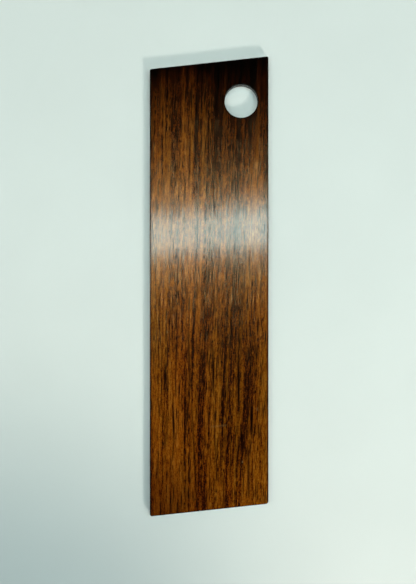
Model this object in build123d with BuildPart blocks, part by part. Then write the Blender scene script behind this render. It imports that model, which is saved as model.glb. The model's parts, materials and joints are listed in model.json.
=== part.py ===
from build123d import *

import math
import os

# Flat hanging board: a long narrow strip of dark three-ply wood with both ends
# cut at the same slight slant and one round hanging hole near a corner.
#
# Frame, in millimetres: X across the board, Y along its length (the way the
# face grain runs), Z through its thickness. The underside lies on Z = 0 and the
# origin is the centre of the bounding box's bottom. The hanging hole is near
# the +X +Y corner.

# --- driving dimensions -----------------------------------------------------
board_width = 50.0  # long edge to long edge
long_edge = 188.6  # length of each long edge, corner to corner
end_slant = 6.18  # both ends rise towards +X by this many degrees

face_ply_thickness = 1.0
core_ply_thickness = 1.0
back_ply_thickness = 1.0

hole_diameter = 14.0
hole_from_edge = 11.5  # hole centre to the +X long edge
hole_from_end = 17.7  # hole centre to the +Y end, measured along the length

upper_corner_radius = 0.7  # the two corners at the +Y end
lower_corner_radius = 1.1  # the two corners at the -Y end, worn rounder

face_arris_radius = 0.5  # rounding all round the top face
back_arris_radius = 0.35  # rounding all round the underside
hole_face_rim_radius = 0.25  # eased rim of the hole on the top face
hole_back_rim_radius = 0.2  # eased rim of the hole on the underside

# --- derived ----------------------------------------------------------------
board_thickness = face_ply_thickness + core_ply_thickness + back_ply_thickness
slope = math.tan(math.radians(end_slant))
end_rise = board_width * slope
half_width = board_width / 2


def corner_loss(radius):
    """How much a rounded sharp corner shortens the board's overall length."""
    return radius * slope + radius * (1 / math.cos(math.radians(end_slant)) - 1)


# The sharp corners are +X +Y and -X -Y. The outline is shifted along Y so that
# its bounding box is centred on the origin after those corners are rounded.
y_shift = (corner_loss(upper_corner_radius) - corner_loss(lower_corner_radius)) / 2
top_mid = long_edge / 2 + y_shift  # the +Y end's height on the centre line
bottom_mid = -long_edge / 2 + y_shift

hole_x = half_width - hole_from_edge
hole_y = top_mid + slope * hole_x - hole_from_end

face_bottom = back_ply_thickness + core_ply_thickness
core_bottom = back_ply_thickness

os.makedirs("parts", exist_ok=True)

# --- outline shared by the three plies ---------------------------------------
with BuildSketch(Plane.XY) as outline:
    with BuildLine():
        Polyline(
            (-half_width, bottom_mid - slope * half_width),
            (half_width, bottom_mid + slope * half_width),
            (half_width, top_mid + slope * half_width),
            (-half_width, top_mid - slope * half_width),
            close=True,
        )
    make_face()
    corners = outline.vertices().sort_by(Axis.Y)
    fillet(corners[2:], radius=upper_corner_radius)
    corners = outline.vertices().sort_by(Axis.Y)
    fillet(corners[:2], radius=lower_corner_radius)
    with Locations((hole_x, hole_y)):
        Circle(hole_diameter / 2, mode=Mode.SUBTRACT)

# --- back ply: grain along the length, eased on the underside ----------------
with BuildPart() as back_ply:
    with BuildSketch(Plane.XY):
        add(outline.sketch)
    extrude(amount=back_ply_thickness)
    underside = back_ply.faces().sort_by(Axis.Z)[0]
    fillet(underside.outer_wire().edges(), radius=back_arris_radius)
    underside = back_ply.faces().sort_by(Axis.Z)[0]
    fillet(underside.inner_wires().edges(), radius=hole_back_rim_radius)
back_ply.part.label = "back_ply"
export_step(back_ply.part, "parts/back_ply.step")

# --- core ply: grain across the width, square-edged --------------------------
with BuildPart() as core_ply:
    with BuildSketch(Plane.XY.offset(core_bottom)):
        add(outline.sketch)
    extrude(amount=core_ply_thickness)
core_ply.part.label = "core_ply"
export_step(core_ply.part, "parts/core_ply.step")

# --- face ply: grain along the length, eased on the top face -----------------
with BuildPart() as face_ply:
    with BuildSketch(Plane.XY.offset(face_bottom)):
        add(outline.sketch)
    extrude(amount=face_ply_thickness)
    top_face = face_ply.faces().sort_by(Axis.Z)[-1]
    fillet(top_face.outer_wire().edges(), radius=face_arris_radius)
    top_face = face_ply.faces().sort_by(Axis.Z)[-1]
    fillet(top_face.inner_wires().edges(), radius=hole_face_rim_radius)
face_ply.part.label = "face_ply"
export_step(face_ply.part, "parts/face_ply.step")

# --- summary ------------------------------------------------------------------
size = Compound([back_ply.part, core_ply.part, face_ply.part]).bounding_box()
print("overall size", size.size, "from", size.min, "to", size.max)
print("hole centre", round(hole_x, 4), round(hole_y, 4), "thickness", board_thickness)
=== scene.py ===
# Looks for the flat hanging board: dark lacquered three-ply wood with one hole.
import json
import math

import bpy
import numpy as np
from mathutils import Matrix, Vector, geometry

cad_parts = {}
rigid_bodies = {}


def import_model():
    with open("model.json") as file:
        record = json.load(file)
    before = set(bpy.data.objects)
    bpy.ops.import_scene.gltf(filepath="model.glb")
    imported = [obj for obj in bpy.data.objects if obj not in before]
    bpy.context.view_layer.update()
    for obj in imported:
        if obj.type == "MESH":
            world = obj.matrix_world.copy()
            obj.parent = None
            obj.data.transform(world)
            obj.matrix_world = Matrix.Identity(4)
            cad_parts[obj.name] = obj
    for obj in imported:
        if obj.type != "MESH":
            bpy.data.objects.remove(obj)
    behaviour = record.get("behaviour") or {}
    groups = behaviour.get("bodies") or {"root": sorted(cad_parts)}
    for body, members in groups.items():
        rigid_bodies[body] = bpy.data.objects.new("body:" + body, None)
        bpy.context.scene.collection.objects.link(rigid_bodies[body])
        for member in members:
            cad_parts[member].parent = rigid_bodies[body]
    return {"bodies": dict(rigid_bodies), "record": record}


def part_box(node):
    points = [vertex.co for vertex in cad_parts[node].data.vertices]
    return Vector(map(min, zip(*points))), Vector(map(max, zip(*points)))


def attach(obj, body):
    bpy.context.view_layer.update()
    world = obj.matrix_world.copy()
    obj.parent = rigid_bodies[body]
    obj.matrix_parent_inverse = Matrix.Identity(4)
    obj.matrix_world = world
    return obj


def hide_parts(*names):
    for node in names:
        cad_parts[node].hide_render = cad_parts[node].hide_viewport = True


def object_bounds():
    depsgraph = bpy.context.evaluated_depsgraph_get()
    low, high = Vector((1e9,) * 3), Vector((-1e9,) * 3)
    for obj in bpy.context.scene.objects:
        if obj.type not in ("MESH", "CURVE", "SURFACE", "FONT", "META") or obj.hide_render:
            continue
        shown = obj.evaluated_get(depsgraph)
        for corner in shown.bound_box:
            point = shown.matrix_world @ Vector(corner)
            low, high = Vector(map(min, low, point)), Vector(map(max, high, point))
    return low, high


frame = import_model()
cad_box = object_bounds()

MM = 0.001
SEED = 20283
HAIR = 0.30  # how strongly the finest fibres show

# --- what the CAD says --------------------------------------------------------
face_lo, face_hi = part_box("face_ply")
core_lo, core_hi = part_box("core_ply")
back_lo, back_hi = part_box("back_ply")
hole = next(m for m in frame["record"]["mounts"] if m["name"] == "hanging_hole")
HX, HY = hole["pos_m"][0] / MM, hole["pos_m"][1] / MM
HR = hole["dims"]["r_mm"]
HALF_W = (cad_box[1].x - cad_box[0].x) / 2 / MM
LENGTH = (cad_box[1].y - cad_box[0].y) / MM
SLANT = math.radians(6.18)
SLOPE, COS = math.tan(SLANT), math.cos(SLANT)
R_UP, R_LOW = 0.7, 1.1  # plan radii of the upper and lower corners


def corner_loss(r):
    return r * SLOPE + r * (1 / COS - 1)


Y_SHIFT = (corner_loss(R_UP) - corner_loss(R_LOW)) / 2
HALF_L = (LENGTH - 2 * HALF_W * SLOPE + corner_loss(R_UP) + corner_loss(R_LOW)) / 2
TOP_Z = face_hi.z / MM

# --- camera -------------------------------------------------------------------
# Straight down, a quarter of a metre above the board.
PX = 0.4208  # mm of the top face to one picture pixel
FOCAL_PX = 613.0
cam_data = bpy.data.cameras.new("camera")
cam_data.sensor_width = 36.0
cam_data.sensor_fit = "AUTO"
cam_data.lens = FOCAL_PX / 584 * 36.0
cam_data.clip_start, cam_data.clip_end = 0.01, 20.0
camera = bpy.data.objects.new("camera", cam_data)
bpy.context.scene.collection.objects.link(camera)
CAM_X, CAM_Y = -0.47, -2.37
camera.location = (CAM_X * MM, CAM_Y * MM, (TOP_Z + FOCAL_PX * PX) * MM)
camera.rotation_euler = (0, 0, 0)
bpy.context.scene.camera = camera
bpy.context.scene.view_settings.view_transform = "Standard"
bpy.context.scene.view_settings.look = "None"


# --- wood fields --------------------------------------------------------------
# Everything that makes up the figure is laid out on one raster in millimetres,
# X across the board and Y along it, and read off at each vertex.
DX, DY = 0.1, 0.25
GX0, GY0 = -28.0, -102.0
NX, NY = int(56 / DX) + 1, int(204 / DY) + 1
GXS = GX0 + DX * np.arange(NX)
GYS = GY0 + DY * np.arange(NY)
XX, YY = np.meshgrid(GXS, GYS)  # rows are Y


def field(rng, sx, sy):
    """Smooth noise of unit spread, with features about sx by sy millimetres."""
    white = rng.standard_normal((NY, NX))
    fx = np.fft.fftfreq(NX, DX)[None, :]
    fy = np.fft.fftfreq(NY, DY)[:, None]
    spectrum = np.fft.fft2(white) * np.exp(-2 * (math.pi**2) * ((fx * sx) ** 2 + (fy * sy) ** 2))
    out = np.real(np.fft.ifft2(spectrum))
    out -= out.mean()
    return out / (out.std() + 1e-12)


def read(raster, x, y):
    """The raster's value at points x, y in millimetres."""
    i = np.clip((np.asarray(x) - GX0) / DX, 0, NX - 1.001)
    j = np.clip((np.asarray(y) - GY0) / DY, 0, NY - 1.001)
    i0, j0 = i.astype(int), j.astype(int)
    fi, fj = i - i0, j - j0
    return (
        raster[j0, i0] * (1 - fi) * (1 - fj)
        + raster[j0, i0 + 1] * fi * (1 - fj)
        + raster[j0 + 1, i0] * (1 - fi) * fj
        + raster[j0 + 1, i0 + 1] * fi * fj
    )


def smooth(a, lo, hi):
    t = np.clip((a - lo) / (hi - lo), 0, 1)
    return t * t * (3 - 2 * t)


def stroke(raster, x0, y0, x1, y1, width, strength, crisp=2.0):
    """A dark dash that tapers at both ends, along the line from x0, y0 to x1, y1."""
    pad = 3 * width
    i0, i1 = int((min(x0, x1) - pad - GX0) / DX), int((max(x0, x1) + pad - GX0) / DX) + 2
    j0, j1 = int((min(y0, y1) - GY0) / DY), int((max(y0, y1) - GY0) / DY) + 2
    i0, j0, i1, j1 = max(i0, 0), max(j0, 0), min(i1, NX), min(j1, NY)
    if i1 <= i0 or j1 <= j0:
        return
    sx, sy = GXS[i0:i1][None, :], GYS[j0:j1][:, None]
    t = np.clip((sy - y0) / (y1 - y0), 0, 1)
    cx = x0 + (x1 - x0) * t
    taper = np.clip(4 * t * (1 - t), 0, 1) ** 0.45
    w = width * (0.55 + 0.45 * taper)
    dash = strength * taper * np.exp(-((abs(sx - cx) / w) ** crisp))
    part = raster[j0:j1, i0:i1]
    np.maximum(part, dash, out=part)


def wood(seed, tilt, veins):
    """The fields of one long-grained ply: tone, pores and how the surface rises."""
    rng = np.random.default_rng(seed)
    # The grain runs along Y, leans a little and wanders.
    wander = 0.40 * field(rng, 9, 55) + 0.09 * field(rng, 4, 26)
    lean = tilt * (0.35 + 0.65 * smooth(XX, -25, 20)) * YY
    gx = XX + wander + lean

    def along(sx, sy):
        """Streaky noise that follows the grain."""
        return read(field(rng, sx, sy), np.clip(gx, GX0, -GX0), YY)

    broad = 0.60 * along(4.5, 60) + 0.40 * along(2.2, 34)
    streak = 0.60 * along(0.62, 24) + 0.58 * along(0.32, 12)
    hair = 0.75 * along(0.22, 3.0) + 0.5 * along(0.12, 1.2)
    raw = 0.40 * broad + 0.86 * streak
    # The light wood is even, and the dark falls away from it in streaks.
    top = 0.75
    tone = top - np.log1p(np.exp(2.4 * (top - raw))) / 2.4 + 0.36
    tone = tone + HAIR * hair
    dark = np.zeros((NY, NX))
    for x0, y0, x1, y1, width, strength in veins:
        if width > 0.6:
            stroke(dark, x0, y0, x1, y1, width, strength)
    tone = tone - 1.5 * dark
    # Vessels: chains of short open pores along the grain, crowded in the dark streaks.
    pores = np.zeros((NY, NX))
    for x0, y0, x1, y1, width, strength in veins:
        if width <= 0.6:
            stroke(pores, x0, y0, x1, y1, 1.25 * width, min(1.0, 0.25 + 0.75 * strength), 3.0)
    chains = 1500
    cx = rng.uniform(-30, 30, chains)
    cy = rng.uniform(-99, 99, chains)
    keep = rng.uniform(0, 1, chains)
    likely = 0.52 - 0.20 * read(broad, cx, cy) - 0.20 * read(streak, cx, cy) + 0.7 * read(dark, cx, cy)
    for k in range(chains):
        spread = rng.exponential(18.0) + 3.0
        size = math.exp(rng.normal(math.log(0.205), 0.30))
        force = rng.uniform(0.55, 1.5)
        draws = rng.uniform(0, 1, (40, 3))
        if keep[k] > likely[k]:
            continue
        g = cx[k] + read(wander, cx[k], cy[k]) + tilt * (0.35 + 0.65 * smooth(cx[k], -25, 20)) * cy[k]
        y = cy[k] - spread / 2
        for d in draws:
            run = 1.0 + 7.5 * d[0] ** 1.8
            ends = []
            for yy in (y, y + run):
                x = cx[k]
                for _ in range(4):
                    x = g - read(wander, x, yy) - tilt * (0.35 + 0.65 * smooth(x, -25, 20)) * yy
                ends.append((float(x) + 0.10 * (d[1] - 0.5), yy))
            (xa, ya), (xb, yb) = ends
            stroke(pores, xa, ya, xb, yb, size * (0.75 + 0.5 * d[2]), min(1.0, force * (0.55 + 0.5 * d[1])), 3.0)
            y += run + 0.5 + 4.0 * d[2] ** 2
            if y > cy[k] + spread / 2:
                break
    return {"tone": tone, "pores": pores, "broad": broad, "streak": streak, "hair": hair, "dark": dark, "wander": wander, "gx": gx}


def at_px(x, y):
    """Board millimetres of a picture position."""
    return (x - 208) * PX + CAM_X, (292 - y) * PX + CAM_Y


def vein(x0, y0, x1, y1, width, strength):
    a, b = at_px(x0, y0), at_px(x1, y1)
    return (*b, *a, width, strength) if b[1] < a[1] else (*a, *b, width, strength)


# The board's own dark veins, as (from, to, half width in mm, strength).
FACE_VEINS = [
    vein(241, 258, 241, 478, 6.5, 0.52),
    vein(236, 296, 239, 392, 1.3, 0.60),
    vein(238, 375, 245, 512, 1.5, 0.62),
    vein(238, 345, 239, 420, 0.45, 1.0),
    vein(241, 425, 242, 452, 0.45, 1.0),
    vein(231, 305, 231, 352, 0.35, 0.8),
    vein(213, 345, 213.5, 398, 0.40, 1.0),
    vein(213, 398, 217, 480, 0.30, 0.55),
    vein(252, 330, 250, 400, 0.35, 0.6),
    vein(251, 398, 252, 440, 0.55, 1.0),
    vein(248, 445, 249, 500, 0.45, 0.7),
    vein(188, 322, 190, 392, 0.40, 0.8),
    vein(192, 405, 197, 512, 0.35, 0.7),
    vein(165, 366, 166, 386, 0.40, 1.0),
    vein(173, 402, 174, 446, 0.40, 0.95),
    vein(172, 292, 173, 318, 0.30, 0.6),
    vein(223, 470, 224, 512, 0.30, 0.7),
    vein(187, 62, 189, 145, 0.8, 0.6),
    vein(234, 170, 236, 200, 0.35, 0.8),
    vein(249, 250, 250, 285, 0.35, 0.8),
    vein(156, 196, 157, 216, 0.45, 0.8),
    vein(190, 130, 189, 190, 0.35, 0.7),
    vein(210, 132, 211, 156, 0.35, 0.7),
]
FLECKS = [(*at_px(167.2, 331.8), 0.30, 0.55), (*at_px(257.1, 409.2), 0.28, 0.5), (*at_px(242.5, 461.6), 0.26, 0.4)]
SCRATCH = (at_px(211, 427), at_px(226, 425))
PIT = at_px(243.4, 232.7)
face_wood = wood(SEED, -0.040, FACE_VEINS)
back_wood = wood(SEED + 7, 0.025, [])

# --- shape --------------------------------------------------------------------


def spaced(start, stop, first, growth, most):
    """Positions from start to stop whose steps grow from first up to most, then even out."""
    steps, s, step = [], start, first
    while s + step < stop and step < most:
        s += step
        steps.append(s)
        step *= growth
    rest = stop - (steps[-1] if steps else start)
    n = max(1, round(rest / most))
    base = steps[-1] if steps else start
    return [start, *steps, *[base + rest * (k + 1) / n for k in range(n)]]


def ply(name, z_seen, z_glue, arris, rim, col_step, row_step, walls, relief, side_relief):
    """One ply as a closed mesh of quads. z_seen is the surface that shows and z_glue the glued one, which may be above it.
    relief gives how far the seen surface rises at each point, and side_relief how far a wall stands out."""
    up = 1.0 if z_seen > z_glue else -1.0
    rings = 7
    phi = [math.pi / 2 * k / (rings - 1) for k in range(rings)]
    inset = [arris * (1 - math.cos(p)) for p in phi]
    drop = [arris * (1 - math.sin(p)) for p in phi]
    half = spaced(arris, HALF_W, col_step, 1.0001, col_step * 1.0001)[1:]
    cols = inset + half  # insets from a long edge up to the centre line
    half_v = HALF_L * COS  # in perpendicular distance from an end
    rows_half = inset + spaced(arris, half_v, 0.2, 1.16, row_step)[1:]
    u_in = np.array(cols + cols[-2::-1])  # distance from the nearer long edge
    v_in = np.array(rows_half + rows_half[-2::-1])
    nu, nv = len(u_in), len(v_in)
    u_side = np.where(np.arange(nu) < len(cols), -1.0, 1.0)
    v_side = np.where(np.arange(nv) < len(rows_half), -1.0, 1.0)
    A, B = np.meshgrid(u_in, v_in, indexing="ij")
    SU, SV = np.meshgrid(u_side, v_side, indexing="ij")
    # Corners: square rings become round ones.
    R = np.where(SV > 0, R_UP, R_LOW)
    p, q = 1 - A / R, 1 - B / R
    near = (p > 0) & (q > 0)
    rho = np.maximum(p, q)
    with np.errstate(divide="ignore", invalid="ignore"):
        ang = np.where(p >= q, math.pi / 4 * q / p, math.pi / 2 - math.pi / 4 * p / q)
    ang = np.where(near, ang, 0)
    A2 = np.where(near, R * (1 - rho * np.cos(ang)), A)
    B2 = np.where(near, R * (1 - rho * np.sin(ang)), B)
    U = SU * (HALF_W - A2)
    V = SV * (HALF_L - B2 / COS)
    X, Y = U, V + SLOPE * U + Y_SHIFT
    edge = np.minimum(A, B)
    D = np.interp(edge, inset, drop)  # how far below the seen surface
    keep_h = np.interp(edge, [0, arris * 0.5, arris * 1.6], [0.0, 0.45, 1.0])
    # The block of the grid that the hole's own ring of quads replaces.
    vh = HY - SLOPE * HX - Y_SHIFT
    u_line = np.where(u_side < 0, -(HALF_W - u_in), HALF_W - u_in)
    v_line = np.where(v_side < 0, -(HALF_L - v_in / COS), HALF_L - v_in / COS)
    reach = HR + 2.1
    i0 = int(np.argmin(abs(u_line - (HX - reach))))
    i1 = int(np.argmin(abs(u_line - (HX + reach))))
    j0 = int(np.argmin(abs(v_line - (vh - reach))))
    j1 = int(np.argmin(abs(v_line - (vh + reach))))
    inside = np.zeros((nu, nv), bool)
    inside[i0 + 1 : i1, j0 + 1 : j1] = True
    index = -np.ones((nu, nv), int)
    index[~inside] = np.arange((~inside).sum())
    rise = relief(X, Y) * keep_h
    Z = z_seen + up * (rise - D)
    verts = [np.stack([X[~inside], Y[~inside], Z[~inside]], 1)]
    count = len(verts[0])
    ii, jj = np.meshgrid(np.arange(nu - 1), np.arange(nv - 1), indexing="ij")
    cell = ~((ii >= i0) & (ii < i1) & (jj >= j0) & (jj < j1))
    ii, jj = ii[cell], jj[cell]
    quads = [np.stack([index[ii, jj], index[ii + 1, jj], index[ii + 1, jj + 1], index[ii, jj + 1]], 1)]

    def add_ring(x, y, z):
        nonlocal count
        verts.append(np.stack([x, y, z], 1))
        ids = np.arange(count, count + len(x))
        count += len(x)
        return ids

    def band(a, b):
        """Quads between two closed rings, a outside or above b, counter-clockwise seen from outside."""
        quads.append(np.stack([a, b, np.roll(b, -1), np.roll(a, -1)], 1))

    # Around the hole, counter-clockwise.
    loop = (
        [(i, j0) for i in range(i0, i1)]
        + [(i1, j) for j in range(j0, j1)]
        + [(i, j1) for i in range(i1, i0, -1)]
        + [(i0, j) for j in range(j1, j0, -1)]
    )
    li, lj = np.array(loop).T
    ring = index[li, lj]
    bx, by = X[li, lj], Y[li, lj]
    theta = np.arctan2(by - HY, bx - HX)
    cx, cy = HX + (HR + rim) * np.cos(theta), HY + (HR + rim) * np.sin(theta)
    for t in (0.08, 0.18, 0.30, 0.43, 0.56, 0.68, 0.78, 0.86, 0.92, 0.96, 1.0):
        x, y = bx + (cx - bx) * t, by + (cy - by) * t
        fade = 1.0 if t < 0.96 else 0.85
        new = add_ring(x, y, z_seen + up * relief(x, y) * fade)
        band(ring, new)
        ring = new
    rr = 5
    for k in range(1, rr + 1):
        a = math.pi / 2 * k / rr
        r = HR + rim * (1 - math.sin(a))
        x, y = HX + r * np.cos(theta), HY + r * np.sin(theta)
        new = add_ring(x, y, z_seen + up * (relief(x, y) * (1 - k / rr) - rim * (1 - math.cos(a))))
        band(ring, new)
        ring = new
    z_top = z_seen - up * rim
    for k in range(1, walls + 1):
        z = z_top + (z_glue - z_top) * k / walls
        off = side_relief(HR * theta, np.full(len(theta), z)) if k < walls else 0
        x, y = HX + (HR + off) * np.cos(theta), HY + (HR + off) * np.sin(theta)
        new = add_ring(x, y, np.full(len(theta), z))
        band(ring, new)
        ring = new
    hole_ring = ring
    # The outer wall, clockwise so that its quads face out.
    loop = (
        [(i, 0) for i in range(nu - 1)]
        + [(nu - 1, j) for j in range(nv - 1)]
        + [(i, nv - 1) for i in range(nu - 1, 0, -1)]
        + [(0, j) for j in range(nv - 1, 0, -1)]
    )
    li, lj = np.array(loop).T
    ring = index[li, lj]
    ox, oy = X[li, lj], Y[li, lj]
    tx, ty = np.roll(ox, -1) - np.roll(ox, 1), np.roll(oy, -1) - np.roll(oy, 1)
    tl = np.hypot(tx, ty)
    nx, ny = ty / tl, -tx / tl
    run = np.concatenate([[0], np.cumsum(np.hypot(np.diff(ox), np.diff(oy)))])
    z_top = z_seen - up * arris
    for k in range(1, walls + 1):
        z = z_top + (z_glue - z_top) * k / walls
        off = side_relief(run, np.full(len(run), z)) if k < walls else np.zeros(len(run))
        new = add_ring(ox + nx * off, oy + ny * off, np.full(len(run), z))
        band(new, ring)
        ring = new
    outer_ring = ring
    points = np.concatenate(verts)
    faces = np.concatenate(quads)
    # The glued face: triangles between the two rings.
    ids = np.concatenate([outer_ring, hole_ring])
    flat = [Vector((points[i, 0], points[i, 1])) for i in ids]
    n_out, n_in = len(outer_ring), len(hole_ring)
    edges = [(k, (k + 1) % n_out) for k in range(n_out)] + [(n_out + k, n_out + (k + 1) % n_in) for k in range(n_in)]
    got = geometry.delaunay_2d_cdt(flat, edges, [], 0, 1e-7)
    tris = []
    for tri in got[2]:
        m = sum((got[0][k] for k in tri), Vector((0, 0))) / 3
        if (m.x - HX) ** 2 + (m.y - HY) ** 2 < HR**2 * 0.98:
            continue
        a, b, c = [int(ids[got[3][k][0]]) for k in tri]
        tris.append((a, c, b))
    tris = np.array(tris)
    if up < 0:
        faces, tris = faces[:, ::-1], tris[:, ::-1]
    mesh = bpy.data.meshes.new(name)
    mesh.vertices.add(len(points))
    mesh.vertices.foreach_set("co", (points * MM).astype(np.float32).ravel())
    loops = np.concatenate([faces.ravel(), tris.ravel()])
    mesh.loops.add(len(loops))
    mesh.loops.foreach_set("vertex_index", loops.astype(np.int32))
    starts = np.concatenate([np.arange(len(faces)) * 4, len(faces) * 4 + np.arange(len(tris)) * 3])
    mesh.polygons.add(len(starts))
    mesh.polygons.foreach_set("loop_start", starts.astype(np.int32))
    mesh.update(calc_edges=True)
    mesh.validate()
    mesh.polygons.foreach_set("use_smooth", np.ones(len(mesh.polygons), bool))
    mesh.set_sharp_from_angle(angle=math.radians(50))
    obj = bpy.data.objects.new(name, mesh)
    bpy.context.scene.collection.objects.link(obj)
    return obj, points


def paint(obj, name, values):
    attribute = obj.data.attributes.new(name, "FLOAT", "POINT")
    attribute.data.foreach_set("value", np.asarray(values, np.float32))


rng = np.random.default_rng(SEED + 3)
SWELL = field(rng, 7.0, 38.0)  # slow rise and fall of the pressed and sanded face
RIPPLE = field(rng, 1.6, 14.0)
PEEL = field(rng, 0.7, 0.9)  # orange peel of the sprayed lacquer
EDGE_NOISE = field(rng, 0.8, 0.5)


def face_relief(x, y):
    w = face_wood
    fine = 0.0016 * read(w["streak"], x, y) + 0.0004 * read(w["hair"], x, y)
    sunk = -0.004 * read(w["pores"], x, y) - 0.003 * read(w["dark"], x, y)
    slow = 0.010 * read(SWELL, x, y) + 0.0022 * read(RIPPLE, x, y) + 0.0006 * read(PEEL, x, y)
    return fine + sunk + slow


def back_relief(x, y):
    w = back_wood
    fine = 0.003 * read(w["streak"], x, y) - 0.014 * read(w["pores"], x, y)
    return fine - np.abs(0.008 * read(SWELL, -x, y)) - 0.004


def side_relief(run, z):
    s = (run % 50) - 25
    return 0.012 * read(EDGE_NOISE, s, z * 6 + (run // 50) * 11 - 60) - 0.014


face, face_points = ply("face_panel", TOP_Z, face_lo.z / MM, 0.5, 0.25, 0.19, 0.62, 3, face_relief, side_relief)
back, back_points = ply("back_panel", back_lo.z / MM, back_hi.z / MM, 0.35, 0.2, 0.35, 1.6, 3, back_relief, side_relief)
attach(face, "root" if "root" in frame["bodies"] else sorted(frame["bodies"])[0])
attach(back, "root" if "root" in frame["bodies"] else sorted(frame["bodies"])[0])
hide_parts("face_ply")
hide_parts("back_ply")


def paint_wood(obj, points, w, end_dark):
    x, y = points[:, 0], points[:, 1]
    tone = read(w["tone"], x, y)
    paint(obj, "pore", read(w["pores"], x, y))
    paint(obj, "grain_x", read(w["gx"], x, y))
    # Distance from the nearest outer edge or the hole's rim, for the band of painted shade along the rounded edges,
    # with the darker stain they take up as well.
    v = y - SLOPE * x - Y_SHIFT
    top = (HALF_L - v) * COS
    side = HALF_W - abs(x)
    bottom = (HALF_L + v) * COS
    rim_r = np.hypot(x - HX, y - HY) - HR
    if end_dark:
        tone = tone + (0.60 * read(w["streak"], x, y) - 0.30 * read(w["broad"], x, y)) * (1 - smooth(top, 20, 60))
    paint(obj, "tone", tone)
    stain_and_shade = np.ones(len(x))
    # Darker towards the top end, more so on the right: partly a darker stain, partly painted shade for how the light
    # falls along the grain there. Near the bottom end it is darker on the left and lighter on the right.
    if end_dark:
        across = smooth(x, -12, 14)
        ragged = top + 1.6 * read(w["broad"], x, y) + 0.8 * read(w["streak"], x, y)
        left = np.interp(ragged, [0, 2, 4.5, 7, 13, 18, 23.5, 34, 55], [0.006, 0.02, 0.06, 0.12, 0.25, 0.38, 0.55, 0.72, 0.95])
        right = np.interp(ragged, [0, 3, 7.4, 16, 26, 31, 41, 55], [0.006, 0.015, 0.045, 0.10, 0.22, 0.33, 0.52, 0.88])
        stain_and_shade *= left + (right - left) * across
        stain_and_shade *= 1 - 0.50 * smooth(-y, 64, 92) * smooth(-x, -6, 14)
        stain_and_shade *= 1 + 0.40 * smooth(-y, 74, 90) * smooth(x, 4, 14)
    # Painted shade along the rounded outer edges and the hole's rim, wider on the left edge, which faces away from the
    # light; the edges' darker stain is in it too.
    near = np.minimum(np.minimum(top, bottom), np.minimum(side, rim_r))
    rim_width = np.where(near < side, 0.50, np.where(x < 0, 0.80, 0.70))
    stain_and_shade *= 1 - 0.92 * np.exp(-((np.clip(near, 0, None) / rim_width) ** 2))
    mark = np.zeros(len(x))
    if end_dark:
        # A few pale flecks of dust in the lacquer and one faint cross-grain scratch.
        for mx, my, r, force in FLECKS:
            mark = np.maximum(mark, force * np.exp(-(((x - mx) ** 2 + (y - my) ** 2) / r**2)))
        (ax, ay), (bx, by) = SCRATCH
        along_it = np.clip((x - ax) / (bx - ax), 0, 1)
        off = np.hypot(x - (ax + (bx - ax) * along_it), y - (ay + (by - ay) * along_it))
        mark = np.maximum(mark, 0.10 * np.exp(-((off / 0.30) ** 2)))
        # A tiny pinhole, painted dark for the shade inside it.
        stain_and_shade *= 1 - 0.9 * np.exp(-(((x - PIT[0]) ** 2 + (y - PIT[1]) ** 2) / 0.42**2))
    paint(obj, "mark", mark)
    paint(obj, "stain_and_shade", stain_and_shade)
    # The lacquer is rubbed thin along the outer edges.
    film = 1 - 0.9 * np.exp(-((np.clip(near, 0, None) / (0.8 * rim_width)) ** 2))
    if end_dark:
        film *= 1 - 0.9 * np.exp(-(((x - PIT[0]) ** 2 + (y - PIT[1]) ** 2) / 0.42**2))
    paint(obj, "film", film)


paint_wood(face, face_points, face_wood, True)
paint_wood(back, back_points, back_wood, False)


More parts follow.
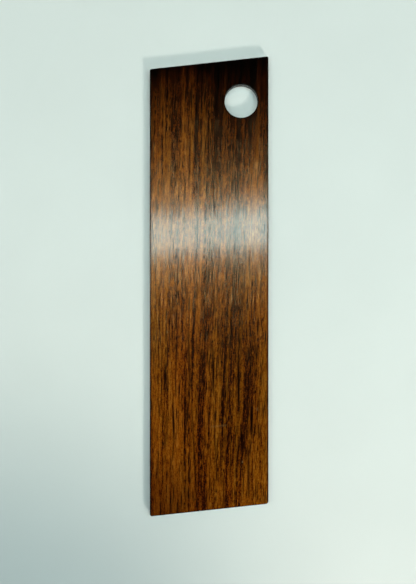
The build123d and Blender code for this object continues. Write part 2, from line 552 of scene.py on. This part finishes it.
# The core: the same outline and hole, square-edged, its walls a little uneven.
def core_piece(name, z_low, z_high):
    n_arc = 10
    corners = [
        (HALF_W, HALF_L, R_UP, 1, 1),
        (-HALF_W, HALF_L, R_UP, -1, 1),
        (-HALF_W, -HALF_L, R_LOW, -1, -1),
        (HALF_W, -HALF_L, R_LOW, 1, -1),
    ]
    outline = []
    for cu, cv, r, su, sv in corners:
        arc = []
        for k in range(n_arc + 1):
            a = math.pi / 2 * k / n_arc
            arc.append((cu - su * r * (1 - math.cos(a)), cv - sv * r * (1 - math.sin(a)) / COS))
        outline.append(arc if su * sv > 0 else arc[::-1])
    loop = []
    for k, arc in enumerate(outline):
        loop += arc
        a, b = arc[-1], outline[(k + 1) % 4][0]
        n = max(2, int(math.hypot(a[0] - b[0], a[1] - b[1]) / 0.6))
        loop += [(a[0] + (b[0] - a[0]) * t / n, a[1] + (b[1] - a[1]) * t / n) for t in range(1, n)]
    u, v = np.array(loop).T
    x, y = u, v + SLOPE * u + Y_SHIFT
    tx, ty = np.roll(x, -1) - np.roll(x, 1), np.roll(y, -1) - np.roll(y, 1)
    tl = np.hypot(tx, ty)
    nx, ny = ty / tl, -tx / tl
    run = np.concatenate([[0], np.cumsum(np.hypot(np.diff(x), np.diff(y)))])
    theta = np.linspace(0, 2 * math.pi, 145)[:-1]
    levels = 5
    verts, quads, count, rings = [], [], 0, []
    for k in range(levels):
        z = z_low + (z_high - z_low) * k / (levels - 1)
        inner = 0 < k < levels - 1
        off = side_relief(run, np.full(len(run), z)) if inner else np.full(len(run), -0.004)
        verts.append(np.stack([x + nx * off, y + ny * off, np.full(len(x), z)], 1))
        ho = side_relief(HR * theta, np.full(len(theta), z)) if inner else np.full(len(theta), -0.004)
        hx, hy = HX + (HR - ho) * np.cos(theta), HY + (HR - ho) * np.sin(theta)
        verts.append(np.stack([hx, hy, np.full(len(theta), z)], 1))
        rings.append((np.arange(count, count + len(x)), np.arange(count + len(x), count + len(x) + len(theta))))
        count += len(x) + len(theta)
    for (a, ha), (b, hb) in zip(rings, rings[1:]):
        quads.append(np.stack([a, np.roll(a, -1), np.roll(b, -1), b], 1))
        quads.append(np.stack([np.roll(ha, -1), ha, hb, np.roll(hb, -1)], 1))
    points = np.concatenate(verts)
    faces = np.concatenate(quads)
    tris = []
    for level, turn in ((0, True), (levels - 1, False)):
        ids = np.concatenate(rings[level])
        flat = [Vector((points[i, 0], points[i, 1])) for i in ids]
        n_out, n_in = len(x), len(theta)
        edges = [(k, (k + 1) % n_out) for k in range(n_out)] + [(n_out + k, n_out + (k + 1) % n_in) for k in range(n_in)]
        got = geometry.delaunay_2d_cdt(flat, edges, [], 0, 1e-7)
        for tri in got[2]:
            m = sum((got[0][k] for k in tri), Vector((0, 0))) / 3
            if (m.x - HX) ** 2 + (m.y - HY) ** 2 < HR**2 * 0.98:
                continue
            a, b, c = [int(ids[got[3][k][0]]) for k in tri]
            tris.append((a, c, b) if turn else (a, b, c))
    mesh = bpy.data.meshes.new(name)
    mesh.from_pydata((points * MM).tolist(), [], faces.tolist() + tris)
    mesh.validate()
    mesh.polygons.foreach_set("use_smooth", np.ones(len(mesh.polygons), bool))
    mesh.set_sharp_from_angle(angle=math.radians(50))
    obj = bpy.data.objects.new(name, mesh)
    bpy.context.scene.collection.objects.link(obj)
    return obj, points


core, core_points = core_piece("core_panel", core_lo.z / MM, core_hi.z / MM)
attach(core, "root" if "root" in frame["bodies"] else sorted(frame["bodies"])[0])
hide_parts("core_ply")


# --- materials ----------------------------------------------------------------
class Tree:
    """A small helper for building node trees."""

    def __init__(self, name):
        self.mat = bpy.data.materials.new(name)
        self.mat.use_nodes = True
        self.nt = self.mat.node_tree
        self.nt.nodes.clear()

    def node(self, kind, **values):
        n = self.nt.nodes.new(kind)
        for key, value in values.items():
            setattr(n, key, value)
        return n

    def link(self, a, b):
        self.nt.links.new(a, b)

    def feed(self, socket, value):
        if isinstance(value, bpy.types.NodeSocket):
            self.link(value, socket)
        else:
            socket.default_value = value

    def attr(self, name):
        return self.node("ShaderNodeAttribute", attribute_name=name).outputs["Fac"]

    def math(self, op, a, b=0.0, clamp=False):
        n = self.node("ShaderNodeMath", operation=op, use_clamp=clamp)
        self.feed(n.inputs[0], a)
        self.feed(n.inputs[1], b)
        return n.outputs[0]

    def noise(self, scale, detail=2.0, rough=0.5, distortion=0.0):
        """Noise whose features are about scale = (x, y, z) millimetres."""
        coord = self.node("ShaderNodeTexCoord")
        mapping = self.node("ShaderNodeMapping")
        mapping.inputs["Scale"].default_value = [1000.0 / s for s in scale]
        self.link(coord.outputs["Object"], mapping.inputs["Vector"])
        n = self.node("ShaderNodeTexNoise")
        n.inputs["Scale"].default_value = 1.0
        n.inputs["Detail"].default_value = detail
        n.inputs["Roughness"].default_value = rough
        n.inputs["Distortion"].default_value = distortion
        self.link(mapping.outputs["Vector"], n.inputs["Vector"])
        return n.outputs["Fac"]

    def ramp(self, value, stops, ease="LINEAR"):
        n = self.node("ShaderNodeValToRGB")
        n.color_ramp.interpolation = ease
        el = n.color_ramp.elements
        while len(el) < len(stops):
            el.new(0.5)
        for e, (pos, col) in zip(el, stops):
            e.position = pos
            e.color = (*col, 1.0)
        self.feed(n.inputs["Fac"], value)
        return n.outputs["Color"]

    def mix(self, kind, fac, a, b):
        n = self.node("ShaderNodeMix", data_type="RGBA", blend_type=kind)
        self.feed(n.inputs[0], fac)
        self.feed(n.inputs[6], a)
        self.feed(n.inputs[7], b)
        return n.outputs[2]

    def grey(self, value):
        n = self.node("ShaderNodeCombineColor")
        for k in range(3):
            self.feed(n.inputs[k], value)
        return n.outputs[0]

    def bump(self, height, strength, distance, normal=None):
        n = self.node("ShaderNodeBump")
        n.inputs["Strength"].default_value = strength
        n.inputs["Distance"].default_value = distance
        self.link(height, n.inputs["Height"])
        if normal is not None:
            self.link(normal, n.inputs["Normal"])
        return n.outputs["Normal"]


def lacquered(name, stops, pore_colour, coat_rough, gain=1.0, coat=1.0):
    t = Tree(name)
    tone, pore, stain_and_shade, gx = t.attr("tone"), t.attr("pore"), t.attr("stain_and_shade"), t.attr("grain_x")
    # Fine fibre follows the grain: X is taken along it, in millimetres.
    split = t.node("ShaderNodeSeparateXYZ")
    t.link(t.node("ShaderNodeTexCoord").outputs["Object"], split.inputs[0])
    y_mm = t.math("MULTIPLY", split.outputs["Y"], 1000.0)

    def grained(sx, sy, detail=2.0, rough=0.5, offset=0.0):
        c = t.node("ShaderNodeCombineXYZ")
        t.link(t.math("MULTIPLY", gx, 1 / sx), c.inputs[0])
        t.link(t.math("MULTIPLY", y_mm, 1 / sy), c.inputs[1])
        c.inputs[2].default_value = offset
        n = t.node("ShaderNodeTexNoise")
        n.inputs["Scale"].default_value = 1.0
        n.inputs["Detail"].default_value = detail
        n.inputs["Roughness"].default_value = rough
        t.link(c.outputs[0], n.inputs["Vector"])
        return n.outputs["Fac"]

    def centred(value, gain_):
        return t.math("MULTIPLY", t.math("SUBTRACT", value, 0.5), gain_)

    hair = grained(0.42, 2.6, 3.0, 0.62)
    fleck = grained(0.55, 6.0, 2.0, 0.55, 3.7)
    grit = grained(0.42, 0.75, 2.0, 0.6, 9.1)
    fine = t.math("ADD", t.math("ADD", centred(hair, 6.6), centred(fleck, 3.4)), centred(grit, 4.4))
    # Hair-thin pores too small for the mesh.
    thin = t.math("MULTIPLY", t.math("SUBTRACT", grained(0.60, 12.0, 1.0, 0.5, 14.3), 0.58, clamp=True), 8.0, clamp=True)
    pores = t.math("MAXIMUM", pore, t.math("MULTIPLY", thin, 0.8))
    level = t.math("ADD", t.math("MULTIPLY", t.math("ADD", tone, fine), 0.21 * gain), 0.5, clamp=True)
    colour = t.ramp(level, stops)
    # A slight drift of hue along the board, redder here and more golden there.
    drift = t.noise((9.0, 55.0, 9.0), 1.0)
    colour = t.mix("MULTIPLY", 1.0, colour, t.ramp(drift, [(0.3, (1.05, 0.95, 0.90)), (0.7, (0.97, 1.05, 1.05))]))
    colour = t.mix("MIX", t.math("MULTIPLY", pores, 1.04, clamp=True), colour, (*pore_colour, 1.0))
    # Darkening from the stain and the painted shade: where they are strongest the wood turns from brown towards
    # red-black.
    stain_shade_ramp = [(0.0, (0.0, 0.0, 0.0)), (0.1, (0.1, 0.056, 0.042)), (0.25, (0.25, 0.190, 0.150)), (0.5, (0.5, 0.440, 0.385)), (1.0, (1.0, 1.0, 1.0))]
    colour = t.mix("MULTIPLY", 1.0, colour, t.ramp(stain_and_shade, stain_shade_ramp))
    colour = t.mix("MIX", t.attr("mark"), colour, (0.58, 0.31, 0.12, 1.0))
    p = t.node("ShaderNodeBsdfPrincipled")
    t.link(colour, p.inputs["Base Color"])
    p.inputs["IOR"].default_value = 1.6
    # The deepest pores hold no bright fibre.
    deep = t.math("POWER", pore, 3.0, clamp=True)
    shine = t.math("ADD", 0.92, t.math("ADD", centred(hair, 0.45), centred(grit, 0.35)))
    shine = t.math("SUBTRACT", shine, t.math("MULTIPLY", deep, 0.75), clamp=True)
    p.inputs["Specular IOR Level"].default_value = 0.63
    p.inputs["Specular Tint"].default_value = (0.96, 0.365, 0.125, 1.0)
    t.link(t.mix("MULTIPLY", 1.0, (0.96, 0.365, 0.125, 1.0), t.grey(t.math("MULTIPLY", t.math("POWER", stain_and_shade, 0.5, clamp=True), shine))), p.inputs["Specular Tint"])
    p.inputs["Anisotropic"].default_value = 0.45
    # The lacquer sinks into the pores and shines less there.
    sheen = t.math("ADD", 0.90, t.math("ADD", centred(hair, 0.7), centred(grit, 0.9)))
    sheen = t.math("SUBTRACT", sheen, t.math("MULTIPLY", deep, 0.36))
    t.link(t.math("MULTIPLY", sheen, t.math("MULTIPLY", t.attr("film"), coat), clamp=True), p.inputs["Coat Weight"])
    p.inputs["Coat Roughness"].default_value = coat_rough
    p.inputs["Coat IOR"].default_value = 1.37
    p.inputs["Coat Tint"].default_value = (1.0, 1.0, 1.0, 1.0)
    # The fibres under the lacquer shine, some streaks more than others.
    rough = t.math("ADD", 0.230, centred(fleck, 0.05), clamp=True)
    t.link(rough, p.inputs["Roughness"])
    tangent = t.node("ShaderNodeCombineXYZ")
    tangent.inputs[0].default_value = 1.0
    t.link(tangent.outputs[0], p.inputs["Tangent"])

    def leaning(normal, value, amount):
        """The normal tipped along the grain by value, streak by streak."""
        tip = t.node("ShaderNodeCombineXYZ")
        t.link(centred(value, amount), tip.inputs[1])
        add = t.node("ShaderNodeVectorMath", operation="ADD")
        t.link(normal, add.inputs[0])
        t.link(tip.outputs[0], add.inputs[1])
        unit = t.node("ShaderNodeVectorMath", operation="NORMALIZE")
        t.link(add.outputs[0], unit.inputs[0])
        return unit.outputs[0]

    grain = t.math("SUBTRACT", t.math("MULTIPLY", hair, 0.5), pores)
    n = t.bump(grain, 0.4, 0.000012)
    # The fibres rise and dip along the grain, streak by streak, so each streak shines at its own place.
    dip = grained(0.19, 9.0, 1.0, 0.5, 21.0)
    t.link(leaning(n, dip, 0.31), p.inputs["Normal"])
    peel = t.noise((1.0, 1.3, 1.0), 2.0, 0.55)
    sunk = t.math("SUBTRACT", t.math("MULTIPLY", hair, 0.20), t.math("MULTIPLY", pores, 0.8))
    c = t.bump(peel, 0.4, 0.000012)
    c = t.bump(sunk, 0.4, 0.000008, c)
    t.link(leaning(c, dip, 0.034), p.inputs["Coat Normal"])
    out = t.node("ShaderNodeOutputMaterial")
    t.link(p.outputs[0], out.inputs["Surface"])
    return t.mat


FACE_STOPS = [
    (0.00, (0.008, 0.0010, 0.0003)),
    (0.25, (0.056, 0.0062, 0.0003)),
    (0.50, (0.180, 0.0352, 0.0008)),
    (0.75, (0.288, 0.0690, 0.0032)),
    (1.00, (0.372, 0.1100, 0.0110)),
]
face_mat = lacquered("walnut_face", FACE_STOPS, (0.0055, 0.0005, 0.0002), 0.115)
back_mat = lacquered("walnut_back", FACE_STOPS, (0.010, 0.0016, 0.0007), 0.30, 0.8, 0.6)
face.data.materials.append(face_mat)
back.data.materials.append(back_mat)


def edge_wood(name):
    """The core's stained edge: end grain on the long edges and in the hole, long grain at the ends."""
    t = Tree(name)
    fibres = t.noise((0.5, 0.28, 0.22), 3.0, 0.6)
    bands = t.noise((3.0, 2.2, 0.5), 2.0, 0.5)
    level = t.math("ADD", t.math("MULTIPLY", fibres, 0.6), t.math("MULTIPLY", bands, 0.4))
    colour = t.ramp(level, [(0.3, (0.012, 0.0040, 0.0020)), (0.5, (0.034, 0.0115, 0.0035)), (0.72, (0.075, 0.028, 0.0080))])
    p = t.node("ShaderNodeBsdfPrincipled")
    t.link(colour, p.inputs["Base Color"])
    t.link(t.math("ADD", 0.45, t.math("MULTIPLY", fibres, 0.2)), p.inputs["Roughness"])
    p.inputs["Coat Weight"].default_value = 0.6
    p.inputs["Coat Roughness"].default_value = 0.28
    p.inputs["Coat IOR"].default_value = 1.5
    t.link(t.bump(level, 0.5, 0.00004), p.inputs["Normal"])
    out = t.node("ShaderNodeOutputMaterial")
    t.link(p.outputs[0], out.inputs["Surface"])
    return t.mat


core.data.materials.append(edge_wood("stained_core"))

# --- floor and light ----------------------------------------------------------
floor_mesh = bpy.data.meshes.new("floor")
S = 4.0
floor_mesh.from_pydata([(-S, -S, 0), (S, -S, 0), (S, S, 0), (-S, S, 0)], [], [(0, 1, 2, 3)])
floor = bpy.data.objects.new("floor", floor_mesh)
bpy.context.scene.collection.objects.link(floor)
floor.location.z = back_lo.z - 0.00002
ft = Tree("pale_paper")
paper = ft.noise((60, 60, 60), 2.0, 0.5)
fibre = ft.noise((1.2, 1.2, 1.2), 3.0, 0.6)
colour = ft.ramp(paper, [(0.35, (0.900, 0.781, 0.720)), (0.65, (0.925, 0.803, 0.740))])
# Painted shadow: the paper is a little darker towards the near left, as under a soft cast shadow.
place = ft.node("ShaderNodeTexCoord")
shadow_distance = ft.node("ShaderNodeVectorMath", operation="DISTANCE")
ft.link(place.outputs["Object"], shadow_distance.inputs[0])
shadow_distance.inputs[1].default_value = (-0.095, -0.180, 0.0)
colour = ft.mix("MULTIPLY", 1.0, colour, ft.ramp(ft.math("MULTIPLY", shadow_distance.outputs["Value"], 5.0), [(0.22, (0.55, 0.62, 0.655)), (0.86, (1.0, 1.0, 1.0))], "EASE"))
fp = ft.node("ShaderNodeBsdfPrincipled")
ft.link(colour, fp.inputs["Base Color"])
fp.inputs["Roughness"].default_value = 0.85
fp.inputs["Specular IOR Level"].default_value = 0.2
b1 = ft.bump(ft.noise((55, 40, 50), 2.0, 0.4), 0.12, 0.004)
ft.link(ft.bump(fibre, 0.10, 0.00006, b1), fp.inputs["Normal"])
fo = ft.node("ShaderNodeOutputMaterial")
ft.link(fp.outputs[0], fo.inputs["Surface"])
floor_mesh.materials.append(ft.mat)


def area(name, place, aim, size, power, colour=(1, 1, 1)):
    data = bpy.data.lights.new(name, "AREA")
    data.shape = "RECTANGLE"
    data.size, data.size_y = size
    data.energy = power
    data.color = colour
    obj = bpy.data.objects.new(name, data)
    bpy.context.scene.collection.objects.link(obj)
    obj.location = place
    obj.rotation_euler = (Vector(aim) - Vector(place)).to_track_quat("-Z", "Y").to_euler()
    return obj


# Key: low, from the right and the near end.
area("key", (0.392, -0.632, 0.360), (0, 0, 0), (0.10, 0.10), 4.2, (0.88, 1.0, 0.96))
# A long strip just past the camera, whose reflection is the bright band across the board.
strip = area("strip", (0.012, 0.0835, 0.60), (0.012, 0.0835, 0), (1.40, 0.052), 4.00, (0.63, 0.97, 1.0))
strip.rotation_euler = (0, 0, math.radians(4.3))
# Its right half is a little stronger and cooler.
cool = area("strip_right", (0.14, 0.0930, 0.598), (0.14, 0.0930, 0), (0.22, 0.085), 0.13, (0.10, 0.72, 1.0))
cool.rotation_euler = (0, 0, math.radians(4.3))
# Soft fill from the far end, where the board doesn't mirror it to the camera.
area("far", (0.25, 1.15, 1.05), (0, 0.08, 0), (0.9, 0.5), 2.0, (1.0, 0.78, 0.64))
# Soft fill from the left, so the edge there isn't lost in its own shadow.
area("left_fill", (-1.15, 0.02, 1.00), (0, 0, 0), (0.6, 0.9), 1.1, (1.0, 0.84, 0.74))

world = bpy.data.worlds.new("studio")
bpy.context.scene.world = world
world.use_nodes = True
wn = world.node_tree
bg = wn.nodes["Background"]
coord = wn.nodes.new("ShaderNodeTexCoord")
sep = wn.nodes.new("ShaderNodeSeparateXYZ")
wn.links.new(coord.outputs["Generated"], sep.inputs[0])
wr = wn.nodes.new("ShaderNodeValToRGB")
wr.color_ramp.interpolation = "EASE"
# Pale at the horizon, and dark overhead, where the board would mirror it to the camera.
sky = [(0.0, 1.0), (0.20, 0.72), (0.38, 0.10), (0.90, 0.008)]
while len(wr.color_ramp.elements) < len(sky):
    wr.color_ramp.elements.new(0.5)
for e, (at, value) in zip(wr.color_ramp.elements, sky):
    e.position, e.color = at, (0.97 * value, value, 0.98 * value, 1)
wn.links.new(sep.outputs["Z"], wr.inputs["Fac"])
wn.links.new(wr.outputs["Color"], bg.inputs["Color"])
bg.inputs["Strength"].default_value = 0.55
